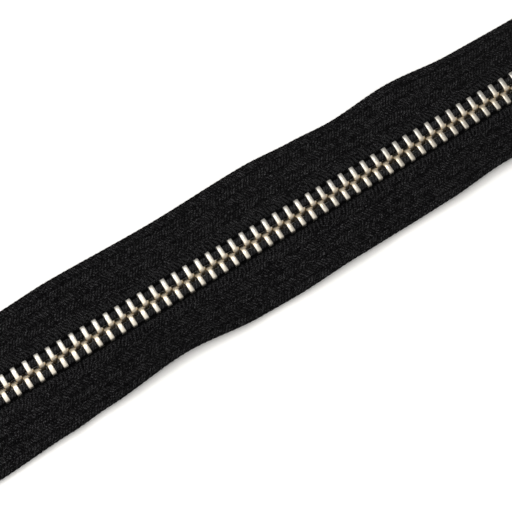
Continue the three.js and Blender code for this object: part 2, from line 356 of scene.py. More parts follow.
# %% [markdown]
# ## The teeth's nickel
# Teeth are stamped from strip and tumbled, so one tooth shows several looks: white legs, warm heads
# where the rows rub, grey cut ends that are partly the sheared metal's own dullness and partly painted
# shade, a painted highlight on the nib, painted shade on the face that the right row turns upwards, and
# painted shade on the tip that lies deep between its neighbours. Five attributes on the tooth's points
# say where each look is, so the finish follows the tooth wherever it is copied.

# %% Tooth nickel
TOOTH_PLAIN, TOOTH_WARM = colour(0.51, 0.492, 0.45), colour(0.8, 0.69, 0.54)
# grey cut ends: partly the sheared metal's own dullness, partly painted shade
TOOTH_CUT_AND_SHADE = colour(0.24, 0.235, 0.225)
# painted shade on the face that the right row turns upwards
TOOTH_FACE_SHADE = colour(0.52, 0.45, 0.345)
# a painted highlight on the nib
TOOTH_NIB_HIGHLIGHT = colour(0.98, 0.9, 0.75)
# painted shade on the head's tip, deep between its neighbours
TOOTH_TIP_SHADE = colour(0.03, 0.022, 0.013)
CUT_SHARE = 0.85
HEAD_WARMTH, BLOTCH_WARMTH, BLOTCH_MIDDLE = 0.7, 0.5, 0.45
BLOTCH_SCALE, TOOTH_GRAIN_SCALE = 0.75, 7.0  # features per mm
TOOTH_ROUGHNESS = 0.22
SHADE_ROUGHENS, CUT_ROUGHENS, TIP_ROUGHENS = 0.1, 0.15, 0.3
TOOTH_GRAIN_DEPTH, TOOTH_GRAIN_STRENGTH = 0.02 * MM, 0.4


def tooth_nickel():
    finish = Finish("tooth_nickel")
    point = finish.place()
    head, cut, dull, boss, tip = (finish.attribute(name) for name in ("head", "cut", "dull", "boss", "tip"))
    blotch = finish.noise(point, BLOTCH_SCALE, 2.0)
    grain = finish.noise(point, TOOTH_GRAIN_SCALE, 3.0, 0.6)
    shade = (head * HEAD_WARMTH + (blotch - BLOTCH_MIDDLE) * BLOTCH_WARMTH).clipped()
    plate = finish.mix(shade, TOOTH_PLAIN, TOOTH_WARM)
    # cut ends: partly their own dullness, partly painted shade
    plate = finish.mix(cut * CUT_SHARE, plate, TOOTH_CUT_AND_SHADE)
    # painted shade on the right row's upper face, strongest on the heads
    plate = finish.mix(dull, plate, TOOTH_FACE_SHADE)
    # a painted highlight on the upper row's nibs
    plate = finish.mix(boss, plate, TOOTH_NIB_HIGHLIGHT)
    # painted shade on the head's tip
    plate = finish.mix(tip, plate, TOOTH_TIP_SHADE)
    roughness = TOOTH_ROUGHNESS + shade * SHADE_ROUGHENS + grain * GRAIN_ROUGHENS
    roughness = roughness + cut * CUT_ROUGHENS + tip * TIP_ROUGHENS
    finish.set(Base_Color=plate, Roughness=roughness, Metallic=1.0)
    finish.bump(grain, TOOTH_GRAIN_DEPTH, TOOTH_GRAIN_STRENGTH)
    return finish


TOOTH_METAL = tooth_nickel()
print("tooth finish:", len(TOOTH_METAL.tree.nodes), "nodes")

# %% [markdown]
# ## The woven finish
# The tape is a herringbone twill: lengthwise yarns float over the crosswise ones, each yarn starting
# a step later than its neighbour, and the step turns round every few yarns. An image of cloth would
# stretch and repeat, so the shader works the weave out from a cloth map in millimetres, u along the
# tape and v across it: which yarn, where along its float, and how high the yarn's round back stands.
# The same formula gives the bump, the colour and the gloss. The colour is a painted highlight on the
# yarns' round backs, faint on most floats and stronger on a few, for the sparkle of black thread.

# %% Herringbone tape
YARN = 0.25                      # mm between lengthwise yarns
FLOAT = 0.65                     # mm from the start of one float to the next
WEFT = 0.3                       # mm between crosswise yarns
YARNS_PER_BAND = 8
TWILL_STEP = 0.27                # share of a float by which each yarn lags its neighbour
# painted shade: the cloth is painted dark up to here, where the teeth's legs shade it
TEETH_SHADE_V, TEETH_SHADE_FADE = 2.75, 0.5            # mm: the cloth is dark up to here, beside the teeth
SIDE_WANDER, LAG_WANDER = 0.3, 1.7           # how far the yarns stray, in mm and in floats
FLOAT_MIDDLE, FLOAT_LENGTH, FLOAT_ENDS = 0.4, 2.4, 3.0
WEFT_HEIGHT = 0.35
TURN_START, TURN_SHADE = 0.86, 0.45          # where the bands meet, the cloth is darker
# the noise that gives lint and where the painted sparkle shows
LINT_SPARKLE_GAIN, LINT_SPARKLE_CUT = 5.4, 2.2
TONE_GAIN, TONE_FLOOR = 1.1, 0.1
# the lighter colour is a painted highlight on the floats' backs
CLOTH_DARK, CLOTH_HIGHLIGHT = colour(0.0012, 0.0012, 0.0014), colour(0.075, 0.075, 0.079)
WANDER_SCALE, LINT_SCALE = 1.3, 4.5          # features per mm
CLOTH_ROUGHNESS, LIGHT_SMOOTHS, CLOTH_GLOSS = 0.62, 0.2, 0.02
WEAVE_DEPTH = 0.2 * MM


def woven_tape():
    finish = Finish("tape_weave")
    cloth, u, v = finish.cloth_map()
    wobble = finish.noise(cloth, WANDER_SCALE, 2.0) - 0.5
    yarn = (v + wobble * SIDE_WANDER) / YARN
    which = yarn.floor()
    band = (which + 0.5).zigzag(YARNS_PER_BAND)
    along = u / FLOAT + band * TWILL_STEP + wobble * LAG_WANDER
    across = yarn.tent()
    ends = 1 - ((along.fract() - FLOAT_MIDDLE).size() * FLOAT_LENGTH).combined("POWER", FLOAT_ENDS)
    float_height = ((1 - across * across) * ends).clipped()
    weft = 1 - (u / WEFT).tent()
    height = float_height.combined("MAXIMUM", weft * WEFT_HEIGHT)
    cell = finish.node("ShaderNodeCombineXYZ", {}, {0: which, 1: along.floor()})[0]
    tone = finish.node("ShaderNodeTexWhiteNoise", {"noise_dimensions": "2D"}, {"Vector": cell})[0]
    turn = (band / YARNS_PER_BAND * 2 - 1).size().above(TURN_START)
    lint_and_sparkle = (finish.noise(cloth, LINT_SCALE, 2.0, 0.7) * LINT_SPARKLE_GAIN - LINT_SPARKLE_CUT).clipped()
    # painted shade beside the teeth, where their legs shade the cloth
    unshaded_cloth = ((v - TEETH_SHADE_V) / TEETH_SHADE_FADE).clipped()
    speckle = (tone * TONE_GAIN + TONE_FLOOR) * lint_and_sparkle
    # painted light: a highlight on the floats' round backs, with painted shade where the bands meet and
    # beside the teeth
    painted_light = (float_height * speckle * (1 - turn * TURN_SHADE) * unshaded_cloth).clipped()
    finish.set(
        Base_Color=finish.mix(painted_light, CLOTH_DARK, CLOTH_HIGHLIGHT),
        Roughness=CLOTH_ROUGHNESS - painted_light * LIGHT_SMOOTHS,
        Metallic=0.0,
        Specular_IOR_Level=CLOTH_GLOSS,
    )
    finish.bump(height, WEAVE_DEPTH)
    return finish


TAPE_CLOTH = woven_tape()
print("weave finish:", len(TAPE_CLOTH.tree.nodes), "nodes")

# %% [markdown]
# ## Thread
# The bead cord and the stitches beside the teeth are black twisted thread. Their plies are slanting
# lines over each piece's own map, which runs along and around it, with loose lint that breaks them up.
# Each ply's round back is painted lighter, as a painted highlight.

# %% Bead and stitch thread
# the lighter colour is a painted highlight on the plies' backs
THREAD_DARK, THREAD_HIGHLIGHT = colour(0.001, 0.001, 0.0012), colour(0.048, 0.048, 0.051)
THREAD_ROUGHNESS, THREAD_GLOSS = 0.6, 0.05
FUZZ_SHARE = 0.3                 # how much of a ply's height is loose fuzz
PLY_DEPTH, PLY_STRENGTH = 0.1 * MM, 0.8
BEAD_TWIST, STITCH_TWIST = 1.6, 3.2          # plies that pass in each mm


def thread_black(name, turns):
    finish = Finish(name)
    cloth, u, v = finish.cloth_map()
    ply = (u * turns + v).tent()
    fuzz = finish.noise(cloth, LINT_SCALE, 3.0)
    height = (1 - ply * ply) * (1 - FUZZ_SHARE + fuzz * FUZZ_SHARE)
    lint_and_sparkle = (fuzz * LINT_SPARKLE_GAIN - LINT_SPARKLE_CUT).clipped()
    # the black dye, with a painted highlight on each ply's round back
    dye_and_highlight = finish.mix((height * lint_and_sparkle).clipped(), THREAD_DARK, THREAD_HIGHLIGHT)
    finish.set(Base_Color=dye_and_highlight, Roughness=THREAD_ROUGHNESS, Metallic=0.0, Specular_IOR_Level=THREAD_GLOSS)
    finish.bump(height, PLY_DEPTH, PLY_STRENGTH)
    return finish


BEAD_THREAD = thread_black("bead_thread", BEAD_TWIST)
STITCH_THREAD = thread_black("stitch_thread", STITCH_TWIST)
print("threads:", BEAD_THREAD.material.name, STITCH_THREAD.material.name)

# %% [markdown]
# ## The sheet under the zipper
# The zipper lies on a matt white sheet, which takes its soft shadow. It is one large square.

# %% White floor
FLOOR_REACH = 3.0                # metres from the middle to each side
FLOOR_LOW, FLOOR_HIGH = colour(0.93, 0.93, 0.93), colour(0.95, 0.95, 0.95)
FLOOR_ROUGHNESS, FLOOR_GLOSS = 0.9, 0.1
MOTTLE_SCALE = 0.05              # features per mm


def white_floor():
    finish = Finish("white_sheet")
    mottle = finish.noise(finish.place(), MOTTLE_SCALE, 2.0)
    finish.set(
        Base_Color=finish.mix(mottle, FLOOR_LOW, FLOOR_HIGH),
        Roughness=FLOOR_ROUGHNESS,
        Specular_IOR_Level=FLOOR_GLOSS,
    )
    return finish.material


floor_mesh = bpy.data.meshes.new("floor")
corners = [(-1, -1), (1, -1), (1, 1), (-1, 1)]
floor_mesh.from_pydata([(FLOOR_REACH * x, FLOOR_REACH * y, 0) for x, y in corners], [], [(0, 1, 2, 3)])
floor_mesh.materials.append(white_floor())
floor = bpy.data.objects.new("floor", floor_mesh)
bpy.context.scene.collection.objects.link(floor)
print("floor:", 2 * FLOOR_REACH, "m square")

# %% [markdown]
# ## Making plain meshes
# Each piece ends as a plain mesh that sits at the origin, with its place in its own points. A few small
# helpers turn points and faces into such a piece, turn its faces outwards and smooth it. A thread, a
# cord and a loop are all tubes, so one function skins a row of rings and maps u along and v around it.


# %% Mesh helpers
def new_piece(name, mesh, finish):
    piece = bpy.data.objects.new(name, mesh)
    bpy.context.scene.collection.objects.link(piece)
    mesh.materials.clear()
    mesh.materials.append(finish.material)
    return piece


def mesh_of(name, points, faces):
    mesh = bpy.data.meshes.new(name)
    mesh.from_pydata([tuple(point) for point in points], [], faces)
    mesh.validate()
    return mesh


def add_map(mesh, corners):
    layer = mesh.uv_layers.new(name="cloth")
    layer.data.foreach_set("uv", np.array(corners, float).ravel())


def flip_if_inside_out(mesh):
    work = bmesh.new()
    work.from_mesh(mesh)
    if work.calc_volume(signed=True) < 0:
        bmesh.ops.reverse_faces(work, faces=work.faces)
    work.to_mesh(mesh)
    work.free()


def rounded(mesh, degrees):
    """Smooth shading, with edges sharper than this left crisp."""
    mesh.polygons.foreach_set("use_smooth", [True] * len(mesh.polygons))
    mesh.set_sharp_from_angle(angle=math.radians(degrees))


def unit(vectors):
    return vectors / np.linalg.norm(vectors, axis=1, keepdims=True)


def tube(name, centres, radii, aside, up, along, turns, crisp):
    """A closed tube: a ring around each centre, with a radius for each of its points."""
    rows, ring = radii.shape
    angle = 2 * math.pi * np.arange(ring) / ring
    outwards = np.cos(angle)[:, None] * aside[:, None, :] + np.sin(angle)[:, None] * up[:, None, :]
    points = (centres[:, None, :] + radii[..., None] * outwards).reshape(-1, 3)
    faces, corners = [], []
    for i in range(rows - 1):
        for k in range(ring):
            j = (k + 1) % ring
            faces.append((i * ring + k, i * ring + j, (i + 1) * ring + j, (i + 1) * ring + k))
            v0, v1 = turns * k / ring, turns * (k + 1) / ring
            corners += [(along[i], v0), (along[i], v1), (along[i + 1], v1), (along[i + 1], v0)]
    faces.append(tuple(range(ring)))
    faces.append(tuple(reversed(range((rows - 1) * ring, rows * ring))))
    corners += [(0, 0)] * (2 * ring)
    mesh = mesh_of(name, points, faces)
    add_map(mesh, corners)
    flip_if_inside_out(mesh)
    rounded(mesh, crisp)
    return mesh


print("mesh helpers ready")

# %% [markdown]
# ## One tooth
# A tooth is a loft: a rounded rectangle is carried from the leg tips to the head, and its width and
# height change on the way. The legs are tall and flat on top, the neck steps down, and the head is a
# little wider than the legs and slopes away. One side of the head then gets a nib, and the other a
# dimple that takes the next tooth's nib. All sizes are in millimetres, for a tooth on the +Y side.

# %% Tooth profile
LEG_TIP = LEG_END / MM
HEAD_TIP = -HEAD_REACH / MM
LEG_WIDE, LEG_TALL = 0.98, 2 * LEG_HALF / MM
TOOTH_STATIONS = [               # y, middle and width along the chain, height, corner radius
    (LEG_TIP, 0, 0.78, 1.9, 0.2),
    (LEG_TIP - 0.07, 0, 0.92, 2.3, 0.2),
    (LEG_TIP - 0.24, 0, LEG_WIDE, LEG_TALL, 0.12),
    (1.3, 0, LEG_WIDE, LEG_TALL, 0.12),
    (0.95, 0, LEG_WIDE, 2.5, 0.14),
    (0.6, 0, LEG_WIDE, 2.34, 0.16),
    (0.36, 0.01, 1.12, 2.16, 0.24),
    (0.12, 0.06, 1.24, 1.96, 0.36),
    (-0.06, 0.08, 1.16, 1.62, 0.4),
    (-0.22, 0.06, 1.0, 1.05, 0.34),
    (-0.42, 0.03, 0.86, 0.66, 0.28),
    (HEAD_TIP, 0, 0.6, 0.44, 0.18),
]
ROUND_STEPS = 3
CORNERS = [(1, -1), (1, 1), (-1, 1), (-1, -1)]


def rounded_rectangle(wide, high, radius):
    """Points around a rectangle with round corners, as (x, z), counter-clockwise."""
    points = []
    for corner, (sx, sz) in enumerate(CORNERS):
        for step in range(ROUND_STEPS + 1):
            angle = math.radians(90 * (corner - 1) + 90 * step / ROUND_STEPS)
            points.append((sx * (wide / 2 - radius) + radius * math.cos(angle),
                           sz * (high / 2 - radius) + radius * math.sin(angle)))
    return points


print("tooth stations:", len(TOOTH_STATIONS), "of", len(rounded_rectangle(1, 1, 0.1)), "points")

# %% Nib and dimple
NIB_PLACE = Vector((0.5, 0.4, 0))
NIB_OUT, NIB_HALF_WIDTH, NIB_TALL = 0.46, 0.42, 1.0
NIB_TURNS, NIB_RINGS = 10, 4
NIB_FLATNESS = 0.6               # below 1, the nib keeps its height further out
DIMPLE_IN, DIMPLE_RIM = 0.26, 0.12
DIMPLE_SIDE, DIMPLE_REACH, DIMPLE_HALF_HEIGHT = -0.46, 0.2, 0.3


def add_nib(work):
    """A round bump on the +X side of the head, taller than it is wide."""
    rings = []
    for ring in range(NIB_RINGS):
        lean = math.radians(90) * ring / NIB_RINGS
        out, wide = NIB_OUT * math.sin(lean), NIB_HALF_WIDTH * math.cos(lean)
        tall = NIB_TALL * math.cos(lean) ** NIB_FLATNESS
        rings.append([work.verts.new(NIB_PLACE + Vector((out, wide * math.cos(turn), tall * math.sin(turn))))
                      for turn in np.linspace(0, 2 * math.pi, NIB_TURNS, endpoint=False)])
    tip = work.verts.new(NIB_PLACE + Vector((NIB_OUT, 0, 0)))
    base = work.verts.new(NIB_PLACE)
    for i in range(NIB_TURNS):
        j = (i + 1) % NIB_TURNS
        for low, high in zip(rings, rings[1:]):
            work.faces.new((low[i], low[j], high[j], high[i]))
        work.faces.new((rings[-1][i], rings[-1][j], tip))
        work.faces.new((rings[0][j], rings[0][i], base))


def add_dimple(work):
    """Pushes a patch of the head's -X side inwards."""
    work.normal_update()
    middles = {face: face.calc_center_median() for face in work.faces}
    side = [face for face, middle in middles.items()
            if middle.x < DIMPLE_SIDE and abs(middle.y) < DIMPLE_REACH and abs(middle.z) < DIMPLE_HALF_HEIGHT]
    bmesh.ops.inset_region(work, faces=side, thickness=DIMPLE_RIM, depth=0)
    for vert in {vert for face in side for vert in face.verts}:
        vert.co.x += DIMPLE_IN


print(f"nib stands {NIB_OUT} mm out, dimple {DIMPLE_IN} mm in")


# %% Tooth mesh
HEAD_FROM, HEAD_FADE = 1.2, 1.1              # mm: y where each look starts, and how far it fades over
CUT_FROM, CUT_FADE = LEG_TIP - 0.9, 0.85
# where painted shade on the head's tip starts, and how far it fades over
TIP_SHADE_FROM, TIP_SHADE_FADE = -0.06, 0.2
# painted shade on the face that the right row turns upwards: where it starts, how far it fades, and its least
# share
FACE_SHADE_FROM, FACE_SHADE_FADE, FACE_SHADE_LEAST = 1.2, 0.35, 0.3
# the first size is where painted shade on the right row's upper face stops; the others are where the nib's
# painted highlight starts and how far it fades in
FACE_SHADE_SIDE, NIB_HIGHLIGHT_SIDE, NIB_HIGHLIGHT_FADE = 0.66, 0.5, 0.12
TOOTH_CRISP = 42                             # degrees


def add_shares(mesh, **shares):
    """Stores one number from 0 to 1 for each point, under each name."""
    for name, values in shares.items():
        mesh.attributes.new(name, "FLOAT", "POINT").data.foreach_set("value", values)


def tooth_mesh():
    work = bmesh.new()
    loops = [[work.verts.new((middle + x, y, z)) for x, z in rounded_rectangle(wide, high, radius)]
             for y, middle, wide, high, radius in TOOTH_STATIONS]
    count = len(loops[0])
    for far, near in zip(loops, loops[1:]):
        for i in range(count):
            j = (i + 1) % count
            work.faces.new((far[i], far[j], near[j], near[i]))
    work.faces.new(loops[0])
    work.faces.new(list(reversed(loops[-1])))
    add_dimple(work)
    add_nib(work)
    bmesh.ops.recalc_face_normals(work, faces=work.faces)
    bmesh.ops.scale(work, vec=(MM, MM, MM), verts=work.verts)
    mesh = bpy.data.meshes.new("tooth")
    work.to_mesh(mesh)
    work.free()
    x, y, z = np.array([vert.co / MM for vert in mesh.vertices]).T
    add_shares(
        mesh,
        head=np.clip((HEAD_FROM - y) / HEAD_FADE, 0, 1),
        # cut ends, grey partly as their own dullness and partly as painted shade
        cut=np.clip((y - CUT_FROM) / CUT_FADE, 0, 1) ** 2,
        # painted shade on the head's tip
        tip=np.clip((TIP_SHADE_FROM - y) / TIP_SHADE_FADE, 0, 1),
        # painted shade on the face that the right row turns upwards
        dull=np.clip((FACE_SHADE_FROM - y) / FACE_SHADE_FADE, FACE_SHADE_LEAST, 1) * (z < 0) * (x < FACE_SHADE_SIDE),
        # a painted highlight on the nib, on the upper face only
        boss=np.clip((x - NIB_HIGHLIGHT_SIDE) / NIB_HIGHLIGHT_FADE, 0, 1) * (z > 0) * (y > 0),
    )
    rounded(mesh, TOOTH_CRISP)
    return mesh


TOOTH = bpy.data.objects.new("tooth_pattern", tooth_mesh())
print("tooth:", len(TOOTH.data.polygons), "faces")

# %% [markdown]
# ## A row of teeth with Geometry Nodes
# About seventy equal teeth stand in each row, which is a job for instances. The tree lays a line of
# points one pitch apart, pushes them aside along the slider's curve, turns each copy with that curve,
# adds a small seeded wobble, as clamped teeth never stand quite alike, and joins the copies.

# %% Geometry Nodes helper
OBJECT_GEOMETRY = 4              # output of an Object Info node
VECTOR_LOW, VECTOR_HIGH = 0, 1   # inputs of a Random Value node
NUMBER_LOW, NUMBER_HIGH, NUMBER_OUTPUT = 2, 3, 1


class Graph:
    """A Geometry Nodes tree with named inputs."""

    def __init__(self, name):
        self.tree = bpy.data.node_groups.new(name, "GeometryNodeTree")
        self.keys = {}
        self.tree.interface.new_socket("Geometry", in_out="OUTPUT", socket_type="NodeSocketGeometry")
        self.tree.interface.new_socket("Geometry", in_out="INPUT", socket_type="NodeSocketGeometry")
        self.start = self.tree.nodes.new("NodeGroupInput")
        self.end = self.tree.nodes.new("NodeGroupOutput")

    def inputs(self, **kinds):
        """Adds an input of each kind and returns their sockets in the same order."""
        for name, kind in kinds.items():
            made = self.tree.interface.new_socket(name, in_out="INPUT", socket_type="NodeSocket" + kind)
            self.keys[name] = made.identifier
        return [self.start.outputs[name] for name in kinds]

    def node(self, kind, settings=None, sockets=None):
        made = self.tree.nodes.new(kind)
        for key, value in (settings or {}).items():
            setattr(made, key, value)
        for key, value in (sockets or {}).items():
            if isinstance(value, bpy.types.NodeSocket):
                self.tree.links.new(value, made.inputs[key])
            else:
                made.inputs[key].default_value = value
        return made.outputs

    def math(self, operation, *values):
        return self.node("ShaderNodeMath", {"operation": operation}, dict(enumerate(values)))[0]

    def product(self, first, *others):
        for other in others:
            first = self.math("MULTIPLY", first, other)
        return first

    def place_copies(self, points, pattern, rotation, material):
        """Puts a copy on every point, makes the copies real and gives them their material."""
        shape = self.node("GeometryNodeObjectInfo", {}, {"Object": pattern})[OBJECT_GEOMETRY]
        copies = self.node("GeometryNodeInstanceOnPoints", {},
                           {"Points": points, "Instance": shape, "Rotation": rotation})[0]
        real = self.node("GeometryNodeRealizeInstances", {}, {0: copies})[0]
        done = self.node("GeometryNodeSetMaterial", {}, {"Geometry": real, "Material": material})[0]
        self.tree.links.new(done, self.end.inputs[0])

    def grow(self, name, values):
        """Runs the tree on an empty mesh and returns the result as a plain mesh."""
        holder = bpy.data.objects.new(name + "_grower", bpy.data.meshes.new(name + "_seed"))
        bpy.context.scene.collection.objects.link(holder)
        modifier = holder.modifiers.new("grow", "NODES")
        modifier.node_group = self.tree
        for key, value in values.items():
            modifier[self.keys[key]] = value
        bpy.context.view_layer.update()
        ready = holder.evaluated_get(bpy.context.evaluated_depsgraph_get())
        mesh = bpy.data.meshes.new_from_object(ready)
        mesh.name = name
        bpy.data.objects.remove(holder)
        return mesh


print("graph helper ready")


# %% Points along a row
def row_points(graph, count, start, step):
    """Points along X, pushed aside along the slider's curve. Returns them and how far each turns."""
    side, = graph.inputs(Side="Float")
    line = graph.node("GeometryNodeMeshLine", {"mode": "OFFSET"},
                      {"Count": count, "Start Location": start, "Offset": step})[0]
    place = graph.node("GeometryNodeInputPosition")[0]
    x = graph.node("ShaderNodeSeparateXYZ", {}, {0: place})[0]
    length = SLIDER_HIGH - SLIDER_LOW
    share = graph.math("DIVIDE", graph.math("SUBTRACT", x, SLIDER_LOW), length)
    t = graph.math("MINIMUM", graph.math("MAXIMUM", share, 0.0), 1.0)
    rise = graph.product(t, t, graph.math("SUBTRACT", 3.0, graph.math("MULTIPLY", t, 2.0)))
    aside = graph.product(rise, SPREAD, side)
    slope = graph.product(t, graph.math("SUBTRACT", 1.0, t), 6 * SPREAD / length)
    turn = graph.product(graph.math("ARCTANGENT", slope), side)
    kept = graph.node("GeometryNodeStoreNamedAttribute", {"data_type": "FLOAT", "domain": "POINT"},
                      {"Geometry": line, "Name": "turn", "Value": turn})[0]
    shift = graph.node("ShaderNodeCombineXYZ", {}, {1: aside})[0]
    moved = graph.node("GeometryNodeSetPosition", {}, {"Geometry": kept, "Offset": shift})[0]
    kept_turn = graph.node("GeometryNodeInputNamedAttribute", {"data_type": "FLOAT"}, {"Name": "turn"})[0]
    return moved, kept_turn


def tooth_row_graph():
    graph = Graph("tooth_row")
    pattern, count, start, step, flip, wobble, seed, material = graph.inputs(
        Tooth="Object", Count="Int", Start="Vector", Step="Vector", Flip="Float", Wobble="Float",
        Seed="Int", Material="Material")
    points, turn = row_points(graph, count, start, step)
    shake = graph.node("FunctionNodeRandomValue", {"data_type": "FLOAT_VECTOR"},
                       {VECTOR_LOW: (-1, -1, -1), VECTOR_HIGH: (1, 1, 1), "Seed": seed})[0]
    shaken = graph.node("ShaderNodeVectorMath", {"operation": "SCALE"}, {0: shake, "Scale": wobble})[0]
    sx, sy, sz = graph.node("ShaderNodeSeparateXYZ", {}, {0: shaken})
    rotation = graph.node("ShaderNodeCombineXYZ", {}, {
        0: graph.math("ADD", flip, sx), 1: sy, 2: graph.math("ADD", turn, sz)})[0]
    graph.place_copies(points, pattern, rotation, material)
    return graph


TOOTH_ROW = tooth_row_graph()
print("tooth row graph:", len(TOOTH_ROW.tree.nodes), "nodes, inputs", list(TOOTH_ROW.keys))

# %% Left and right rows
TOOTH_WOBBLE = math.radians(1.1)
TOOTH_SEED = 4
LAST_TOOTH_GAP = 0.5 * MM        # at least this from the last tooth's middle to the top stop


def tooth_count(start):
    return int(math.floor((CHAIN_TOP - LAST_TOOTH_GAP - start) / PITCH)) + 1


teeth = {}
for word, side in SIDES.items():
    first = CHAIN_BOTTOM + PITCH / 2 + (PITCH / 2 if side > 0 else 0)
    row = TOOTH_ROW.grow(word + "_teeth", {
        "Tooth": TOOTH, "Count": tooth_count(first), "Start": (first, 0, MID_Z), "Step": (PITCH, 0, 0),
        "Flip": 0.0 if side > 0 else math.pi, "Wobble": TOOTH_WOBBLE, "Seed": TOOTH_SEED + side,
        "Side": side, "Material": TOOTH_METAL.material})
    teeth[word] = new_piece(word + "_teeth", row, TOOTH_METAL)
    print(word, "row:", tooth_count(first), "teeth,", len(row.polygons), "faces")

# %% [markdown]
# ## Bead cords
# The bead is a twisted cord woven into the tape's edge, and the teeth are clamped on it. Three real
# plies would be slow to shade and mostly hidden, so one tube is swept along the row, and its radius
# ripples as a three-ply rope does, with a map that winds with it.

# %% Bead cords
BEAD_RADIUS, BEAD_OUT = 0.74 * MM, 0.12 * MM
BEAD_STEP = 0.4 * MM
BEAD_RING = 12
BEAD_PLIES, BEAD_RIPPLE, BEAD_LAY = 3, 0.08, 2.4 * MM
BEAD_CRISP = 60                  # degrees


def swept_cord(name, path):
    """A cord along a path of points, whose radius follows its plies."""
    ahead = unit(np.gradient(path, axis=0))
    up = np.tile([0, 0, 1.0], (len(path), 1))
    run = np.concatenate([[0], np.cumsum(np.linalg.norm(np.diff(path, axis=0), axis=1))])
    angle = 2 * math.pi * np.arange(BEAD_RING) / BEAD_RING
    ply = BEAD_PLIES * (angle - 2 * math.pi * run[:, None] / BEAD_LAY)
    radii = BEAD_RADIUS * (1 + BEAD_RIPPLE * np.cos(ply))
    return tube(name, path, radii, unit(np.cross(up, ahead)), up, run / MM, BEAD_PLIES, BEAD_CRISP)


beads = {}
for word, side in SIDES.items():
    xs = np.arange(TAPE_LOW, TAPE_HIGH, BEAD_STEP)
    route = np.stack([xs, side * (CORD_Y + BEAD_OUT + offset_at(xs)), np.full_like(xs, MID_Z)], 1)
    beads[word] = new_piece(word + "_bead_cord", swept_cord(word + "_bead_cord", route), BEAD_THREAD)
print("bead cords:", len(beads["left"].data.polygons), "faces each")

# %% [markdown]
# ## The tapes
# A tape is one strip of cloth, so it is one grid of points that is given a thickness. It is laid out
# flat first, u along and v across, which is also the map that the weave follows. It is then shaped as
# cloth lies: the selvage sways in and out, the outer part sinks towards the table and lifts again in
# slow waves, shallow grooves part the bands of herringbone, and the very edge has tiny scallops.

# %% Slow waves of the cloth
SWAY_STOPS = {                   # x in mm, and how far the selvage stands out or in, in mm
    "left": [(-110, 0.0), (-84, -0.2), (-66, 0.2), (-55, 0.6), (-33, 0.4), (-11, 0.7), (0, 0.2),
             (9, -0.2), (22, 0.3), (37, -0.7), (52, -0.9), (75, -0.3), (110, 0.0)],
    "right": [(-110, 0.2), (-84, 0.3), (-66, -0.4), (-58, -0.9), (-40, -2.0), (-24, -0.7), (-14, -0.5),
              (-2, -0.8), (10, -1.0), (20, -1.1), (33, -1.8), (50, -1.2), (76, -0.5), (110, 0.0)],
}
LIFT_STOPS = {                   # x in mm, and how far the selvage stands off the table, in mm
    "left": [(-110, 1.0), (-84, 0.6), (-60, 1.8), (-33, 1.2), (-11, 1.9), (9, 1.0), (22, 1.8),
             (42, 0.9), (70, 0.8), (110, 1.2)],
    "right": [(-110, 1.0), (-84, 0.6), (-62, 1.0), (-41, 1.8), (-20, 0.9), (-2, 1.5), (10, 1.1),
              (33, 1.7), (52, 1.1), (76, 0.8), (110, 1.2)],
}


def eased(stops, x):
    """A smooth curve through a few given stops."""
    xs, ys = np.array(stops, float).T
    k = np.clip(np.searchsorted(xs, x) - 1, 0, len(xs) - 2)
    share = smoothstep(np.clip((x - xs[k]) / (xs[k + 1] - xs[k]), 0, 1))
    return ys[k] + (ys[k + 1] - ys[k]) * share


print("selvage at the middle:", {word: round(float(eased(SWAY_STOPS[word], 0)), 2) for word in SIDES}, "mm")

# %% Tape surface
TAPE_HALF = 0.26 * MM
TAPE_IN = CORD_Y + 0.3 * MM
BAND = YARN * YARNS_PER_BAND * MM
SCALLOP, SCALLOP_LENGTH, SCALLOP_START = 0.03 * MM, 1.2 * MM, 0.995
SWAY_POWER = 1.6                 # the sway grows towards the selvage
HANG_START = 0.12                # the share of the width that stays level beside the teeth
RIPPLE, RIPPLE_LENGTH = 0.12 * MM, 7.3 * MM
GROOVE_START, GROOVE_DEPTH = 0.72, 0.22


def tape_surface(word, side, x, share, level):
    """A point of the tape: x along it, share from its inner to its outer edge, level from -1 to 1."""
    flat = TAPE_IN + share * (TAPE_OUT - TAPE_IN)
    sway = eased(SWAY_STOPS[word], x / MM) * MM * share ** SWAY_POWER
    scallop = SCALLOP * np.cos(2 * math.pi * x / SCALLOP_LENGTH) * (share > SCALLOP_START)
    y = flat + sway + scallop + offset_at(x)
    edge_z = eased(LIFT_STOPS[word], x / MM) * MM + TAPE_HALF
    hang = smoothstep(np.clip((share - HANG_START) / (1 - HANG_START), 0, 1))
    ripple = RIPPLE * np.sin(x / RIPPLE_LENGTH + side) * np.sin(math.pi * share)
    z = MID_Z + (edge_z - MID_Z) * hang + ripple
    groove = np.abs(((flat / BAND) % 1.0) - 0.5) * 2
    thinner = GROOVE_DEPTH * np.clip((groove - GROOVE_START) / (1 - GROOVE_START), 0, 1)
    return np.stack([x, side * y, z + level * TAPE_HALF * (1 - thinner)], -1)


print(f"tape {(TAPE_OUT - TAPE_IN) / MM:.1f} mm wide, {(TAPE_HIGH - TAPE_LOW) / MM:.1f} mm long")

# %% Tape mesh
ALONG_STEP = 0.3 * MM
ACROSS = 26
UNDERSIDE_SHIFT = (0.31, 0)      # mm, so that the two faces of the cloth don't show the same yarns
TAPE_CRISP = 60                  # degrees


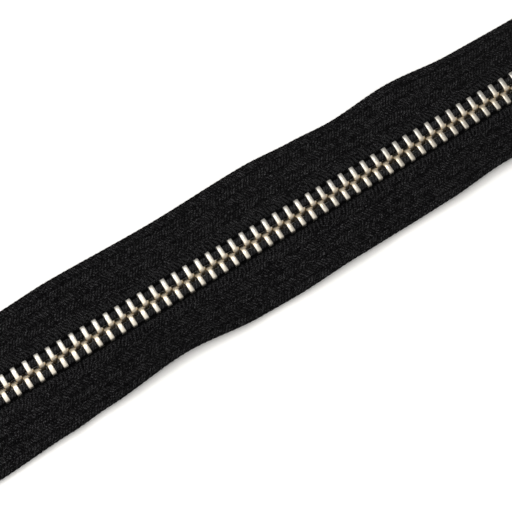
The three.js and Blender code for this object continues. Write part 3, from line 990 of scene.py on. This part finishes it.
def tape_mesh(word, side):
    xs = np.arange(TAPE_LOW, TAPE_HIGH + 1e-9, ALONG_STEP)
    grid_x, grid_s = np.meshgrid(xs, np.linspace(0, 1, ACROSS), indexing="ij")
    layers = [tape_surface(word, side, grid_x, grid_s, level).reshape(-1, 3) for level in (1.0, -1.0)]
    at = np.arange(grid_x.size).reshape(grid_x.shape)
    quads = np.stack([at[:-1, :-1], at[1:, :-1], at[1:, 1:], at[:-1, 1:]], -1).reshape(-1, 4)
    faces = [*quads.tolist(), *(quads[:, ::-1] + at.size).tolist()]
    rim = [*at[:, 0], *at[-1, 1:], *at[-2::-1, -1], *at[0, -2:0:-1]]
    faces += [(a, a + at.size, b + at.size, b) for a, b in zip(rim, [*rim[1:], rim[0]])]
    mesh = mesh_of(word + "_tape_cloth", np.concatenate(layers), faces)
    flat = np.stack([grid_x / MM, (TAPE_IN + grid_s * (TAPE_OUT - TAPE_IN)) / MM], -1).reshape(-1, 2)
    flat = np.concatenate([flat, flat + UNDERSIDE_SHIFT])
    corners = np.zeros(len(mesh.loops), int)
    mesh.loops.foreach_get("vertex_index", corners)
    add_map(mesh, flat[corners])
    flip_if_inside_out(mesh)
    rounded(mesh, TAPE_CRISP)
    return mesh


tapes = {}
for word, side in SIDES.items():
    tapes[word] = new_piece(word + "_tape_cloth", tape_mesh(word, side), TAPE_CLOTH)
print("tapes:", len(tapes["left"].data.polygons), "faces each")

# %% [markdown]
# ## Stitches beside the teeth
# A row of loops ties the bead to the tape: each is a short thread that starts under a tooth's legs,
# arches up and ends on the cloth. Both faces of the tape have them. They are copies of one small mesh,
# so a second tree, like the one for the teeth, makes them, with a lean and a seeded spin for each.

# %% One loop
STITCH_STEP = PITCH / 3
STITCH_LENGTH, STITCH_RISE, STITCH_THICK = 1.5 * MM, 0.2 * MM, 0.42 * MM
STITCH_THIN_ENDS = 0.55          # share of the thickness that is left at a loop's ends
STITCH_RING, STITCH_STEPS, STITCH_CRISP = 5, 5, 70


def loop_mesh(name):
    """A thread that arches up along Y over its length."""
    share = np.linspace(0, 1, STITCH_STEPS + 1)
    bow = np.sin(math.pi * share)
    path = np.stack([np.zeros_like(share), (share - 0.5) * STITCH_LENGTH, STITCH_RISE * bow], 1)
    aside = np.tile([1.0, 0, 0], (len(path), 1))
    up = np.cross(aside, unit(np.gradient(path, axis=0)))
    thickness = STITCH_THICK / 2 * (STITCH_THIN_ENDS + (1 - STITCH_THIN_ENDS) * bow)
    radii = np.repeat(thickness[:, None], STITCH_RING, axis=1)
    return tube(name, path, radii, aside, up, share * STITCH_LENGTH / MM, 1, STITCH_CRISP)


STITCH = bpy.data.objects.new("stitch_pattern", loop_mesh("stitch"))
print("stitch:", len(STITCH.data.polygons), "faces")


# %% Rows of loops
def thread_row_graph():
    graph = Graph("thread_row")
    pattern, count, start, step, flip, lean, wobble, seed, material = graph.inputs(
        Thread="Object", Count="Int", Start="Vector", Step="Vector", Flip="Float", Lean="Float",
        Wobble="Float", Seed="Int", Material="Material")
    points, turn = row_points(graph, count, start, step)
    low = graph.math("MULTIPLY", wobble, -1.0)
    shake = graph.node("FunctionNodeRandomValue", {"data_type": "FLOAT"},
                       {NUMBER_LOW: low, NUMBER_HIGH: wobble, "Seed": seed})[NUMBER_OUTPUT]
    spin = graph.math("ADD", graph.math("ADD", turn, lean), shake)
    rotation = graph.node("ShaderNodeCombineXYZ", {}, {0: flip, 2: spin})[0]
    graph.place_copies(points, pattern, rotation, material)
    return graph


THREAD_ROW = thread_row_graph()
STITCH_Y = LEG_END + 0.95 * MM
STITCH_MARGIN = 1 * MM           # bare tape before the first loop and after the last
STITCH_Z = TAPE_HALF * 0.9
STITCH_LEAN, STITCH_WOBBLE = 0.42, 0.3       # radians
STITCH_SEED = 20
STITCH_COUNT = int((TAPE_HIGH - TAPE_LOW - 2 * STITCH_MARGIN) / STITCH_STEP)
stitches = {}
for word, side in SIDES.items():
    work = bmesh.new()
    for face in (1, -1):
        work.from_mesh(THREAD_ROW.grow(f"{word}_stitches_{face}", {
            "Thread": STITCH, "Count": STITCH_COUNT, "Step": (STITCH_STEP, 0, 0),
            "Start": (TAPE_LOW + STITCH_MARGIN, side * STITCH_Y, MID_Z + face * STITCH_Z),
            "Flip": 0.0 if face > 0 else math.pi, "Lean": side * face * STITCH_LEAN,
            "Wobble": STITCH_WOBBLE, "Seed": STITCH_SEED + side + face, "Side": side,
            "Material": STITCH_THREAD.material}))
    joined = bpy.data.meshes.new(word + "_edge_stitches")
    work.to_mesh(joined)
    work.free()
    stitches[word] = new_piece(word + "_edge_stitches", joined, STITCH_THREAD)
print("stitches:", STITCH_COUNT, "a face,", len(stitches["left"].data.polygons), "faces a side")

# %% [markdown]
# ## Stops, slider, pawl and tab
# These castings and clips already have the right shape in the frame, but with knife-sharp edges. A
# copy of each is merged into one skin and gets a Bevel modifier, because rounded edges are what catch
# the light on small metal. The skin is first cut along the middle, so that no face has a hole in it,
# which a bevel would fill wrongly. The copy replaces the frame's own piece.

# %% Rounded copies
BEVEL_FROM = 28                  # degrees between faces from which an edge is rounded
FLAT_WITHIN = 1                  # degrees
SAME_POINT = 1e-6                # metres
HARDWARE = {                     # node, finish, edge radius, bevel segments, body, slot
    "bottom_stop_clip": ("bottom_stop", STOP_METAL, 0.35 * MM, 3, "chain_base", "tooth_metal"),
    "left_top_clip": ("left_top_stop", STOP_METAL, 0.3 * MM, 3, "left_stringer", "tooth_metal"),
    "right_top_clip": ("right_top_stop", STOP_METAL, 0.3 * MM, 3, "right_stringer", "tooth_metal"),
    "slider_casting": ("slider_body", SLIDER_METAL, 0.22 * MM, 3, "slider", "slider_metal"),
    "slider_bridge": ("slider_cap", SLIDER_METAL, 0.22 * MM, 3, "slider", "slider_metal"),
    "pull_tab_plate": ("pull_tab", SLIDER_METAL, 0.2 * MM, 3, "tab", "slider_metal"),
    "pawl_leaf": ("locking_pawl", SPRING_METAL, 0.05 * MM, 1, "pawl", "spring_steel"),
}


def plain_skin(node, name):
    """The node's mesh in large flat faces, cut along y = 0."""
    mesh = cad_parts[node].data.copy()
    mesh.name = name
    work = bmesh.new()
    work.from_mesh(mesh)
    bmesh.ops.remove_doubles(work, verts=work.verts, dist=SAME_POINT)
    everything = [*work.verts, *work.edges, *work.faces]
    cut = bmesh.ops.bisect_plane(work, geom=everything, dist=1e-7, plane_co=(0, 0, 0), plane_no=(0, 1, 0))
    for part in cut["geom_cut"]:
        if isinstance(part, bmesh.types.BMEdge):
            part.seam = True
    bmesh.ops.dissolve_limit(
        work, angle_limit=math.radians(FLAT_WITHIN), verts=work.verts, edges=work.edges, delimit={"SEAM"})
    work.to_mesh(mesh)
    work.free()
    mesh.polygons.foreach_set("use_smooth", [True] * len(mesh.polygons))
    return mesh


def softened(node, name, finish, radius, segments):
    piece = new_piece(name, plain_skin(node, name), finish)
    bevel = piece.modifiers.new("edge", "BEVEL")
    bevel.width = radius
    bevel.segments = segments
    bevel.limit_method = "ANGLE"
    bevel.angle_limit = math.radians(BEVEL_FROM)
    bevel.use_clamp_overlap = True
    flat = piece.modifiers.new("flat", "WEIGHTED_NORMAL")
    flat.weight = 100
    flat.keep_sharp = True
    bpy.context.view_layer.update()
    ready = piece.evaluated_get(bpy.context.evaluated_depsgraph_get())
    done = bpy.data.meshes.new_from_object(ready)
    piece.modifiers.clear()
    piece.data = done
    done.name = name
    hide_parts(node)
    return piece


hardware = {}
for name, (node, finish, radius, segments, _, _) in HARDWARE.items():
    hardware[name] = softened(node, name, finish, radius, segments)
    print(name, len(hardware[name].data.polygons), "faces")

# %% [markdown]
# ## What moves with what
# The slider, pawl and tab ride on their own bodies. The two stringers swing apart as the slider comes
# down, but their lower ends stay in the bottom stop. Here the pieces on a stringer only have their
# place baked into their points.

# %% Rides
for name, (_, _, _, _, body, slot) in HARDWARE.items():
    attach(hardware[name], body)
print("riding:", {name: row[4] for name, row in HARDWARE.items()})

# %% Hiding the frame's rows and baking places
BEND_START = (CHAIN_BOTTOM - 6 * MM, 0, MID_Z)
BEND_END = (CHAIN_BOTTOM + 4 * MM, 0, MID_Z)
BENDING = [(teeth, "tooth_metal"), (beads, "bead_cord"), (tapes, "tape_weave"), (stitches, "tape_weave")]
for word in SIDES:
    nodes = [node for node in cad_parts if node.startswith(word)]
    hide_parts(*[node for node in nodes if "teeth" in node or "tooth" in node])
    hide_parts(*[node for node in nodes if "cord" in node])
    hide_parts(word + "_tape")
    for group, slot in BENDING:
        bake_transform(group[word], "chain_base", word + "_stringer", start=BEND_START, end=BEND_END)
print("bends between x =", [round(point[0] / MM, 1) for point in (BEND_START, BEND_END)], "mm")
